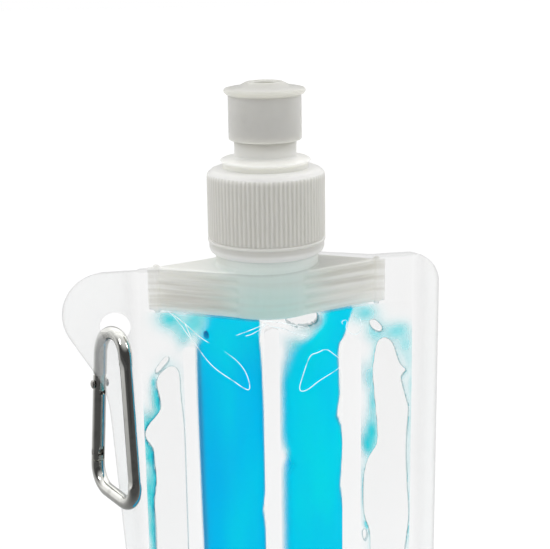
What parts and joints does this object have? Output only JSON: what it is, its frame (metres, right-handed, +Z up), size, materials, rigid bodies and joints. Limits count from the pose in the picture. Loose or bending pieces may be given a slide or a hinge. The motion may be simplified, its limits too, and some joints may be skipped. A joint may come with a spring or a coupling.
{
  "type": "drink pouch",
  "caption": "Clear foldable drink pouch standing filled, with four welded tubes, a ribbed screw cap with a push-pull nozzle, and a sprung-gate carabiner in its ear",
  "frame": {"origin": "on the floor under the spout's axis, in the flat bottom of the gusset", "axes": "+Z up along the spout, +X to the right seen from the front, +Y to the back"},
  "size_m": [0.129, 0.0506, 0.2762],
  "materials": {
    "clear_film": "clear glossy film",
    "blue_drink": "clear blue liquid",
    "milky_plastic": "natural moulded polyethylene",
    "liner_foam": "white foamed liner",
    "white_plastic": "satin translucent white moulding",
    "polished_aluminium": "polished",
    "spring_steel": "bright drawn wire and turned pins"
  },
  "bodies": {
    "pouch": {"front_film": "clear_film", "back_film": "clear_film", "bottom_gusset": "clear_film", "drink": "blue_drink", "spout_fitment": "milky_plastic"},
    "liner": {"cap_liner": "liner_foam"},
    "cap": {"screw_cap": "white_plastic"},
    "nozzle": {"nozzle": "white_plastic"},
    "carabiner": {"carabiner_body": "polished_aluminium", "gate_rivet": "spring_steel"},
    "gate": {"carabiner_gate": "polished_aluminium", "latch_pin": "spring_steel", "gate_spring": "spring_steel"},
    "plunger": {"gate_plunger": "spring_steel"}
  },
  "joints": [
    {"name": "cap_lift", "type": "slide", "parent": "pouch", "child": "liner", "axis": [0, 0, 1], "range_m": [0, 0.0064]},
    {"name": "cap_unscrew", "type": "hinge", "parent": "liner", "child": "cap", "pos_m": [0, 0, 0.235], "axis": [0, 0, 1], "range_deg": [0, 540]},
    {"name": "nozzle_pull", "type": "slide", "parent": "cap", "child": "nozzle", "axis": [0, 0, 1], "range_m": [-0.0048, 0]},
    {"name": "carabiner_swing", "type": "hinge", "parent": "pouch", "child": "carabiner", "pos_m": [-0.0521, 0, 0.1945], "axis": [0, 1, 0], "range_deg": [0, 165]},
    {"name": "gate_open", "type": "hinge", "parent": "carabiner", "child": "gate", "pos_m": [-0.0586, 0.00762, 0.17195], "axis": [-0.864, -0.5, 0.0589], "range_deg": [0, 16], "stiffness_Nm_per_rad": 0.02, "springref_deg": -22.92},
    {"name": "plunger_slide", "type": "slide", "parent": "gate", "child": "plunger", "axis": [0.068, 0, 0.9977], "range_m": [-0.000436, 0]}
  ],
  "couplings": [
    {"joint": "cap_lift", "follows": "cap_unscrew", "m_per_rad": 0.0006737},
    {"joint": "plunger_slide", "follows": "gate_open", "m_per_rad": -0.00155}
  ]
}
